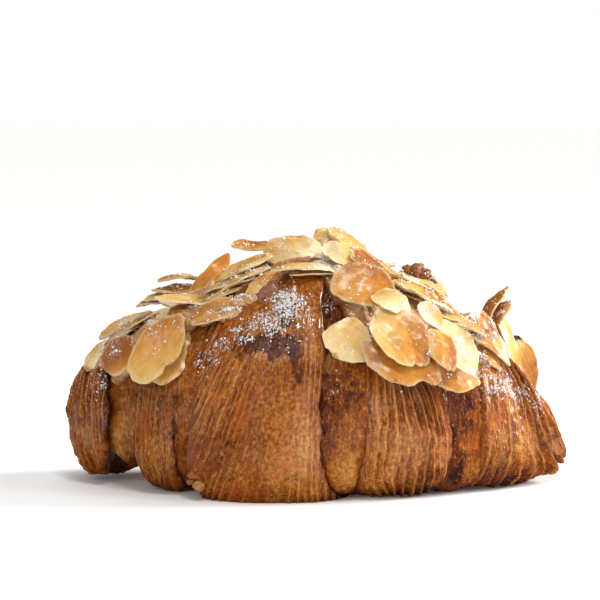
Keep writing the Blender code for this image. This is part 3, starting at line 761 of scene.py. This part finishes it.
flakeForm = {
    "thick": 0.8, "around": 44, "rings": (0.03, 0.05, 0.07, 0.09, 0.11, 0.12, 0.13, 0.13, 0.12),
    "waves": ((3, 0.03), (5, 0.025), (11, 0.016), (17, 0.012)),     # of the outline: how many, how deep
    "sharp": 48.0, "sugar": 0.24, "laidOver": 2.2,      # laidOver: how high the flat ones lie over the roll
}
nearFlakes = [      # x, y, z, turn, rise, spin, length, width, bend, tone (0 ivory, 1 brown), any char
    (-68, 25.2, 37.6, -70, 30, 52, 15, 8, 0.9, 0.4), (-59, -13.5, 41.5, -30, 22, 70, 13, 11, 1.6, 1),
    (-44.4, -21.4, 43.2, 0, 26, 62, 21, 14.5, 0.3, 0.66), (-29.6, -23, 54.8, -20, 50, 28, 17, 9, 1.2, 0.62),
    (-59.5, 18.6, 47.6, -50, 58, 40, 18, 5.6, 0.9, 0.3), (-55.3, 13, 47.6, -45, 60, 30, 16, 7, 1.6, 0.75),
    (-46.6, -23.6, 44.4, -14, 28, 63, 24, 13.5, 0.3, 0.62),
    (-47.6, 13.6, 54.7, -20, 82, 0, 17, 7.5, 1, 0.45), (-35.6, 6.8, 55.4, -8, 76, 12, 25, 11, -1.2, 0.5),
    (-45.2, 12.2, 56.5, -10, 83, 1, 16, 7.5, 0.8, 0.55, 0.2),
    (-43, 11.1, 58.6, -10, 80, 2, 15, 7, 0.3, 0.95), (-28.7, 4.6, 59.3, -60, 64, 33, 20, 6.5, 0.6, 0.6),
    (-42, 9.7, 62.2, -12, 80, -7, 14, 5.5, 0.6, 0.6, 0.6),
    (-24.7, 3.5, 62.6, -60, 64, 34, 20, 6.5, 0.8, 0.65), (-32.2, 7, 62.8, 20, 24, 50, 21, 6.5, 0.3, 0.65),
    (-22.6, 3.4, 66.2, -58, 62, 36, 17, 6.5, 0.6, 0.5),
    (-16.2, -20.3, 62.3, -10, 40, 50, 13, 7.5, 0.9, 0.5), (-4.8, -22, 67.8, 0, 82, -4, 18, 10, 1.6, 0.35),
    (-19.8, 3.2, 72.3, -12, 76, 3, 13, 8, 0.3, 0.85), (-7.2, -6, 71.2, -6, 40, -10, 19.5, 11.5, 1.2, 0.24),
    (5.7, -14, 70.8, 6, 42, -50, 12, 7.5, 0.9, 0.22), (2.4, 1.4, 73.9, 0, 40, 70, 13, 10, 1.6, 0.22),
    (8.7, 1.9, 73.3, 60, 54, -33, 15, 9, 0.3, 0.42), (17.6, 2.6, 64, 62, 42, -42, 22, 14, 1.2, 0.85),
    (38.9, -28.5, 37, 24, 20, -10, 15.5, 10.5, 0.9, 0.86),
    (13, -27.7, 62.4, 8, 30, -15, 20, 13.5, 1.6, 0.74),
    (7.9, -34.9, 47.2, -2, 16, -40, 15.5, 12.5, 0.3, 0.32),
    (23.6, -36.7, 42.9, 10, 26, -32, 24, 17, 1.2, 0.85),
    (20.3, -31.5, 58.2, 12, 40, -30, 12, 7.5, 0.9, 0.2),
    (22.8, -37.2, 48.3, 10, 28, -52, 21, 15, 1.6, 0.58), (31.2, -30.9, 54, 18, 36, -60, 10, 6, 0.3, 0.15),
    (34.2, -35.9, 45, 20, 28, -66, 14, 8.5, 1.2, 0.7),
    (38.5, -32.1, 45.5, 26, 28, -58, 19.5, 11.5, 0.9, 0.1),
    (30.1, 6.7, 59.2, 50, 62, -38, 17, 9, 1.6, 0.35, 0.2), (31.2, 7.4, 60.7, 50, 60, -35, 15, 9, 0.3, 0.3),
    (34.4, 9.1, 55.4, 50, 62, -33, 17, 8, 1.2, 0.7, 0.2), (43.5, 12.5, 48.9, 46, 60, -35, 15, 8, 0.9, 0.4),
    (50.9, 16.3, 38.7, 42, 44, -45, 14, 7, 1.6, 0.45), (52.6, 17, 44.3, 34, 18, -62, 15, 10, 0.3, 0.85),
    (52.5, 17.5, 52.5, -67, 30, 50, 16.5, 6, 1.2, 0.95, 0.6),
    (55.4, 19.3, 51, -52, 26, 52, 9.5, 5, 0.9, 0.85, 0.3),
    (59.6, 20.7, 38.6, 66, 12, -67, 22.5, 9, 1.6, 0.5, 0.3),
    (62.6, 24, 34, 24, 6, -68, 19, 10.5, 0.3, 0.62, 0.9), (-31.5, 3, 57.5, -60, 66, 38, 17, 8, 0.9, 0.85),
    (-27, 2.5, 61, -60, 66, 30, 15, 7, 1.2, 0.6), (-2, -20.5, 66, 0, 84, -6, 14, 8, 0.6, 0.6),
    (-47.5, 8, 50.5, -20, 70, 20, 14, 9, 1.2, 0.95), (33.4, 10, 60.6, 48, 62, -36, 12, 8, 0.9, 0.35),
    (32, 4, 56.6, 50, 60, -40, 17, 8, 0.9, 0.45), (48.5, 12, 43.6, 40, 52, -48, 13, 8, 0.9, 0.3),
    (53.5, 14, 41.6, 20, 40, -60, 13, 7, 0.9, 0.25), (-28.2, -13.5, 60.6, -60, 64, 33, 20, 6, 0.5, 0.65),
    (-24.3, -12.5, 63.7, -60, 64, 34, 20, 6, 0.7, 0.5), (-22.3, -9.5, 67, -58, 62, 36, 17, 6, 0.6, 0.45),
    (-31, -15, 58.8, -60, 66, 38, 17, 7, 0.6, 0.75), (-26.5, -14, 62.1, -60, 60, 30, 14, 6, 0.8, 0.6),
    (-34.7, -15.5, 57.2, -12, 78, 12, 26, 9, -1.4, 0.4),
    (29.1, -14.5, 60.6, 46, 60, -38, 17, 8, 1.4, 0.6, 0.2), (31, -16, 58.1, 46, 58, -38, 17, 5.5, 0.9, 0.3),
    (33.2, -13.5, 57.1, 46, 58, -33, 17, 7.5, 1.2, 0.65, 0.2),
    (30.4, -10, 61.9, 50, 60, -35, 15, 7, 0.3, 0.25), (32.6, -6, 61.7, 48, 62, -36, 12, 7, 0.9, 0.3),
    (41.6, -13.5, 51.2, 42, 54, -38, 17, 6, 0.9, 0.45), (46.6, -13.5, 46, 38, 46, -48, 14, 5, 0.9, 0.6),
    (51.2, -10, 43.6, 20, 36, -58, 14, 4.5, 0.9, 0.3), (48.6, -11.5, 41.6, 36, 40, -48, 13, 4.5, 1.4, 0.6),
    (51, -3, 45.6, 30, 18, -60, 18, 5.5, 0.3, 1, 0.2), (17, -12, 65, 56, 40, -42, 21, 12, 1.2, 0.85),
    (36.5, -14, 54.6, 40, 46, -50, 12, 8, 0.6, 0.55), (-38.5, -16, 54.4, -30, 64, 20, 14, 8, 0.8, 0.7),
    (-67.2, 2, 39.6, -35, 28, 62, 11, 4.6, 0.6, 0.25), (19, 0.4, 65.8, 62, 60, -43, 24, 4, 0.8, 0.42),
]
farFlakes = [       # x, y, z, turn, rise, spin, length, width
    (-52.1, 23.6, 46.3, 122, 65, -156, 17.6, 10.9), (-36.9, 19.9, 54.8, -148, 76, -47, 14.6, 10.4),
    (-20.9, 17.4, 61.2, 148, 64, -34, 15.1, 10.3), (-13.7, 10.7, 67.8, -137, 74, -106, 17.1, 11.6),
    (-2.8, 13.2, 71.7, 175, 79, -132, 21, 15.4), (5.2, 9.4, 71, -98, 81, -79, 19.4, 14.2),
    (14.7, 16.2, 63.2, -111, 63, -31, 20.4, 15.4), (24.2, 16.1, 58, 162, 79, -129, 14.6, 11),
    (39.5, 17.6, 48.2, -91, 71, -71, 19.6, 13.4), (-43.4, 30.5, 44.6, 179, 56, 25, 14.8, 9.3),
    (-25.7, 28.4, 53, 173, 49, 130, 15.5, 11.4), (-17.4, 28.9, 55.9, 178, 61, -18, 19.4, 12.4),
    (-8.1, 25.9, 63, -176, 56, 83, 16.6, 12.5), (0.4, 28.2, 64.4, -154, 61, -2, 20.4, 12.9),
    (7, 28.6, 60.9, -159, 44, 1, 20.2, 13.4), (12.3, 29.1, 56.7, -152, 47, 29, 15.8, 10.9),
    (26.4, 28.6, 49.4, -129, 54, 7, 17.9, 12.5), (43.7, 28.6, 37, -119, 54, 4, 17.1, 10.6),
    (-9.4, 36.4, 49.6, 160, 37, 178, 15, 8.9), (28, 36.2, 37.2, -171, 36, 177, 19.2, 13.9),
]
# flakes that lie flat: how many, seed, from x, to x, from angle, to angle round the roll
laid = [(24, 11, -56, 50, 102, 152), (8, 12, -58, -30, 58, 92), (4, 13, 20, 44, 66, 92)]


def laidFlakes(count, seed, fromX, toX, fromAngle, toAngle):
    draw = np.random.default_rng(seed)
    rows = []
    for x in np.linspace(fromX, toX, count):
        angle = draw.uniform(fromAngle, toAngle)
        spots = ((x, angle), (x + 1, angle), (x, angle + 3))
        at, along, over = (onRoll(*spot, flakeForm["laidOver"]) for spot in spots)
        up = np.cross(along - at, over - at)
        up = up / np.linalg.norm(up)
        turn, rise = math.degrees(math.atan2(up[0], -up[1])), math.degrees(math.asin(up[2]))
        lie = turn + draw.uniform(-20, 20), rise + draw.uniform(-12, 6), draw.uniform(-180, 180)
        rows.append((*at, *lie, draw.uniform(13, 20), draw.uniform(8, 13)))
    return rows


def plainFlake():       # one round slice of unit radius, as rings on both faces
    bpy.ops.mesh.primitive_circle_add(vertices=flakeForm["around"], radius=1, fill_type="NGON")
    bpy.ops.object.mode_set(mode="EDIT")
    bpy.ops.mesh.select_all(action="SELECT")
    for ring in flakeForm["rings"]:
        bpy.ops.mesh.inset(thickness=ring)
    bpy.ops.mesh.poke()
    bpy.ops.mesh.select_all(action="SELECT")
    for _ in range(2):
        bpy.ops.mesh.extrude_region_move(TRANSFORM_OT_translate={"value": (0, 0, 0.5)})
    bpy.ops.mesh.select_all(action="SELECT")
    bpy.ops.mesh.normals_make_consistent(inside=False)
    bpy.ops.object.mode_set(mode="OBJECT")
    return bpy.context.object


# the unit slice as an egg-shaped, bent, chipped flake, and what its finish reads
def flakePoints(unit, row, seed):
    x, y, z, turn, rise, spin, length, width, bend, tone, *char = row
    draw = np.random.default_rng(seed)
    ux, uy, uz = unit.T
    radius, bearing, face = np.hypot(ux, uy), np.arctan2(uy, ux), uz - 0.5
    wave = 1
    for count, depth in flakeForm["waves"]:
        wave = wave + depth * np.sin(count * bearing + draw.uniform(0, 6))
    wave = wave - draw.uniform(0, 0.2) * hump(bearing, draw.uniform(-2.5, 2.5), 0.12)      # a chipped place
    px = 0.5 * length * ux * wave
    py = 0.5 * width * uy * wave * (1 - 0.2 * ux - 0.25 * ease(ux, 0.35, 1))
    broken = draw.uniform(0, 6.3)       # a straight broken edge on one side
    toX, toY = math.cos(broken), math.sin(broken)
    past = (px / length * toX + py / width * toY) / draw.uniform(0.40, 0.56) - 1
    lost = np.maximum(past, 0) * radius**6
    px, py = px - lost * toX * length * 0.45, py - lost * toY * width * 0.45

    thick = flakeForm["thick"] * draw.uniform(0.8, 1.1) * (1 - 0.25 * radius**4)
    cup = draw.uniform(-0.6, 1.0)
    ripple = 0.34 * noise(px / 4.5 + seed, py / 3.5, seed + 7) + 0.15 * noise(px / 1.8, py / 1.8, seed + 8)
    curl = draw.uniform(-0.9, 0.9) * np.maximum(radius - 0.6, 0) ** 1.5
    curl = curl * np.cos(bearing - draw.uniform(0, 6)) * 3
    pz = face * thick - bend * (2 * px / length) ** 2 + cup * (2 * py / width) ** 2 * 0.6
    pz = pz + ripple + curl + draw.uniform(-0.06, 0.06) * px * py / 3

    turn, rise, spin = math.radians(turn), math.radians(rise), math.radians(spin)
    up = np.array((math.sin(turn) * math.cos(rise), -math.cos(turn) * math.cos(rise), math.sin(rise)))
    along = np.array((math.cos(spin), 0, math.sin(spin)))
    along = along - up * along.dot(up)
    along = along / np.linalg.norm(along)
    points = np.array((x, y, z)) + px[:, None] * along + py[:, None] * np.cross(up, along)
    points = points + pz[:, None] * up
    own = np.stack((px + 60 * (seed % 17), py + 60 * (seed % 13), face * 4), axis=-1)
    scorch = sum(char) * ease(ux * draw.choice((-1, 1)), 0.55, 1.0)
    # rim also marks the cut wall, which the finish paints lighter as a painted highlight
    rim = radius + 0.12 * (np.abs(face) < 0.1) * (radius > 0.9)     # the cut wall stands out
    shade = tone + draw.uniform(-0.38, 0.38) * ux + 0.18 * uy
    return points, own, rim, shade, scorch


def joinFlakes(name, unit, faces, rows, firstSeed):
    flakes = [flakePoints(unit, row, firstSeed + i) for i, row in enumerate(rows)]
    points, *values = zip(*flakes)
    piece = joinCopies(name, points, faces, almond)
    piece.data.set_sharp_from_angle(angle=math.radians(flakeForm["sharp"]))
    for key, value in zip(("flakePlace", "rim", "tone", "char"), values):
        mark(piece, key, np.concatenate(value))
    x, _, z = np.concatenate(points).T
    share = np.repeat(np.random.default_rng(firstSeed).uniform(0.5, 1.5, len(rows)), len(unit))
    dust = flakeForm["sugar"] * share + 0.25 * cornersOf(piece)[1][:, 2] + 0.3 * noise(x / 6, z / 6, 77)
    mark(piece, "sugar", np.clip(dust, 0, 1))
    return piece


unitFlake, unitFaces = takeShape(plainFlake())
unitFaces.sort()        # Extrude leaves them in another order each run
draw = np.random.default_rng(5)
flat = [row for group in laid for row in laidFlakes(*group)]
farRows = [(*row, 1.2, draw.uniform(0.1, 0.9), draw.choice((0, 0, 0, 0.4))) for row in farFlakes + flat]
flakePieces = [
    joinFlakes(name, unitFlake, unitFaces, rows, firstSeed)
    for name, rows, firstSeed in (("flakesNear", nearFlakes, 200), ("flakesFar", farRows, 300))]
for piece in [cream] + flakePieces:
    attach(piece, "root")
    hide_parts("almond_topping")
print("croissant: flakes ready")


crumbStretch = (1.15, 0.9, 0.85)
crumbRows = [       # lumps and crumbs of baked cream: x, y, z, size, bake, sugar
    (-58.6, -6.5, 41, 4.8, 0.7, 0.3), (-37.5, -18.3, 52.6, 3, 0.45, 0.5), (-35, -17.4, 53.6, 3, 0.5, 0.4),
    (-31.7, -19.6, 52.8, 3, 0.55, 0.6), (-28.9, -19.8, 54.6, 3.2, 0.45, 0.4),
    (-26, -23.4, 54.2, 2.6, 0.5, 0.7), (-23.1, -22.9, 56.6, 2.6, 0.4, 0.5),
    (-21, -22.8, 58, 2.2, 0.4, 0.5), (-33.4, -20, 51.6, 2, 0.5, 0.6), (-27.4, -22.8, 52.6, 1.8, 0.5, 0.7),
    (-39.5, -18, 50.4, 2.6, 0.6, 0.4), (28, -7, 65, 2.4, 0.95, 0.4), (30.6, -6.5, 64, 2, 1, 0.4),
    (25.6, -7.5, 65.4, 1.7, 0.9, 0.4), (29, -4, 66, 1.5, 0.9, 0.5), (33, -6, 62, 1.4, 0.9, 0.5),
    (-36.4, -25.4, 7.6, 1.7, 0.75, 0), (-35.2, -26.6, 4.6, 1.7, 0.45, 0), (-37.4, -25, 5.6, 1, 0.8, 0),
    (37.1, -5, 0.6, 0.7, 0.2, 1), (50.1, 4.5, 0.6, 0.7, 0.2, 1), (39, -5.5, 0.4, 0.4, 0.2, 1),
    (-50.5, -20, 41, 1.1, 0.6, 0.5), (-24, -24.5, 55.2, 1.2, 0.6, 0.4), (41, -20, 43.6, 1.3, 0.6, 0.6),
    (45.6, -18.6, 40.4, 1.5, 0.6, 0.7), (48.6, -15, 38.8, 1.2, 0.6, 0.8), (12, -26, 54, 1.5, 0.6, 0.4),
    (9, -24, 58, 1.3, 0.6, 0.3), (14.6, -30.2, 50.2, 1.2, 0.7, 0.4),
]


def makeCrumbs():
    bpy.ops.mesh.primitive_ico_sphere_add(subdivisions=4, radius=1)
    ball, faces = takeShape(bpy.context.object)
    a, b, c = ball.T
    points = []
    for i, (x, y, z, size, _, _) in enumerate(crumbRows):
        lump = 0.2 * noise(a * 1.3 + 9 * i, b * 1.3 + c * 0.7, 801)
        lump = lump + 0.14 * noise(c * 2.6 + 7 * i, a * 2.6 - b, 802)
        lump = lump + 0.1 * noise(b * 5 + a, c * 5 + 5 * i, 803)
        lump = lump + 0.05 * noise(a * 11, c * 11 + 5 * i, 804)
        at = ball * (1 + lump)[:, None] * crumbStretch * size + (x, y, z)
        at[:, 2] = np.maximum(at[:, 2], sheetForm["floor"])
        points.append(at)
    piece = joinCopies("crumbs", points, faces, creamSkin)
    for key, column in (("bake", 4), ("sugar", 5)):
        mark(piece, key, np.repeat([row[column] for row in crumbRows], len(ball)))
    return piece


crumbs = makeCrumbs()
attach(crumbs, "root")
print("croissant: crumbs ready")


sugarForm = {"grains": 20000, "size": (0.08, 0.36), "seed": 9, "stray": 0.35, "clump": 1.3}


def makeSugar(pieces):
    form = sugarForm
    bpy.ops.mesh.primitive_cone_add(vertices=4, radius1=1, radius2=0, depth=2, end_fill_type="TRIFAN")
    shape, faces = takeShape(bpy.context.object)
    shape[:, 2] *= np.hypot(shape[:, 0], shape[:, 1]) < 0.5      # a grain with eight faces
    found = []
    for piece in pieces:
        at, facing = cornersOf(piece)
        x, y, z = at.T
        clump = noise(x / form["clump"], y / form["clump"] + z / 1.1, 88)
        chance = valuesOf(piece, "sugar") ** 1.5 * ease(clump, 0.0, 0.9) ** 1.6
        found.append((at, facing, chance * ease(facing[:, 2], -0.1, 0.7) / math.sqrt(len(at))))
    spots, ways, chances = (np.concatenate(column) for column in zip(*found))

    draw = np.random.default_rng(form["seed"])
    chosen = draw.choice(len(spots), form["grains"], p=chances / chances.sum())
    least, most = form["size"]
    size = least + (most - least) * draw.uniform(0, 1, len(chosen)) ** 2
    way = ways[chosen]
    stray = draw.normal(0, form["stray"], (len(chosen), 3))
    stray = stray - way * (stray * way).sum(axis=1)[:, None]        # along the surface, off its corners
    centre = spots[chosen] + way * size[:, None] * 0.35 + stray
    centre[:, 2] = np.maximum(centre[:, 2], size * 1.3)
    squash = draw.uniform(0.7, 1.3, (len(chosen), 1, 3))
    return joinCopies(
        "sugarGrains", centre[:, None, :] + shape[None] * squash * size[:, None, None], faces, sugarSkin)


sugar = makeSugar(pastryPieces + [cream, crumbs] + flakePieces)
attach(sugar, "root")
print("croissant: sugar ready")


studio = {
    "eye": (-4.5, -693.4, 110.6), "dip": 4.5, "lens": 140.0, "sensor": 36.0,
    "world": (0.36, 0.04),      # world light, and as gloss sees it
    "paper": ((0.89, 0.89, 0.89), (0.92, 0.92, 0.92)),
    "sun": {"height": 23.0, "forward": -8.0, "strength": 6.0, "softness": 26.0, "gloss": 0.5,
            "colour": (1.0, 0.98, 0.95)},
    "lights": [      # name, place in m, aim in m, size in m, watts, share of gloss, colour
        ("glint", (0.05, -0.45, 0.65), (0, 0, 0.04), (0.16, 0.1), 2.2, 1.0, (1.0, 0.98, 0.96)),
        ("overhead", (-0.1, 0.2, 0.8), (0, 0, 0.04), (0.6, 0.4), 1.4, 0.4, (1.0, 0.99, 0.98)),
        ("side", (0.7, -0.38, 0.36), (0, 0, 0.03), (0.14, 0.3), 2.0, 0.8, (1.0, 0.97, 0.94)),
        ("front", (-0.35, -1.0, 0.6), (0, 0, 0.03), (0.6, 0.4), 3.2, 0.15, (1.0, 0.99, 0.98)),
    ],
}


def makeFloor():
    bpy.ops.mesh.primitive_plane_add(size=60, location=(0, 0, 0))
    floor = bpy.context.object
    floor.name = "floor"
    finish = Finish(
        "paper", Roughness=0.9, Specular_IOR_Level=0.1, Emission_Strength=0.04, Emission_Color=(1, 1, 1))
    finish.feed(Base_Color=finish.mix(finish.grain(40), *studio["paper"]))
    floor.data.materials.append(finish.material)


def makeWorld():
    world = bpy.data.worlds.new("studio")
    bpy.context.scene.world = world
    world.use_nodes = True
    tree = world.node_tree
    sky = tree.nodes["Background"].inputs
    sky["Color"].default_value = (1, 1, 1, 1)
    path = tree.nodes.new("ShaderNodeLightPath")
    seen, gloss = (Wire(tree, path.outputs[name]) for name in ("Is Camera Ray", "Is Glossy Ray"))
    light, shine = studio["world"]
    connect(tree, sky["Strength"], seen * (1 - light) + gloss * (shine - light) + light)


def makeLights():
    rays = studio["sun"]
    sun = bpy.data.lights.new("key", "SUN")
    sun.energy, sun.angle, sun.color = rays["strength"], math.radians(rays["softness"]), rays["colour"]
    sun.specular_factor = rays["gloss"]
    turn = (math.radians(90 - rays["height"]), 0, math.radians(90 - rays["forward"]))
    linked("key", sun).rotation_euler = turn
    for name, at, aim, size, watts, gloss, colour in studio["lights"]:
        lamp = bpy.data.lights.new(name, "AREA")
        lamp.shape, lamp.size, lamp.size_y = "RECTANGLE", *size
        lamp.energy, lamp.specular_factor, lamp.color = watts, gloss, colour
        thing = linked(name, lamp)
        thing.location = at
        thing.rotation_euler = (Vector(aim) - Vector(at)).to_track_quat("-Z", "Y").to_euler()


def makeCamera():
    camera = bpy.data.cameras.new("camera")
    camera.lens, camera.sensor_width = studio["lens"], studio["sensor"]
    viewer = linked("camera", camera)
    viewer.location = (np.array(studio["eye"]) - middle) * mm
    viewer.rotation_euler = (math.radians(90 - studio["dip"]), 0, 0)
    bpy.context.scene.camera = viewer
    bpy.context.scene.view_settings.view_transform = "Standard"


makeFloor()
makeWorld()
makeLights()
makeCamera()
print("croissant: studio ready")
